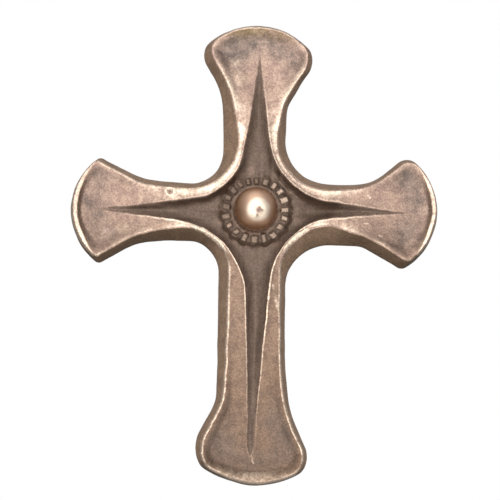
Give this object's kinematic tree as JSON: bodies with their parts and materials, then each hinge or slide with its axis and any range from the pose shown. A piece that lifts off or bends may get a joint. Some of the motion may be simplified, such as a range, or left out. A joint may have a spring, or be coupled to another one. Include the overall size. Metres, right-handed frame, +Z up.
{
  "type": "bronze wall or grave cross",
  "caption": "Small cast bronze cross with flared, dished arm ends, a carved four-pointed star, and a polished ball inside a ring of short bars at the crossing.",
  "frame": {"origin": "on the flat back, behind the centre of the ball and the ring of bars", "axes": "+Z up towards the short upper arm, -Y out of the carved front, +Y out of the back and into the wall or stone, +X to the right seen from the front"},
  "size_m": [0.1181, 0.0133, 0.1497],
  "materials": {
    "bronze": "brown antique patina, rubbed bright on the raised edges and the ball"
  },
  "bodies": {
    "root": {"cross": "bronze"}
  },
  "joints": []
}
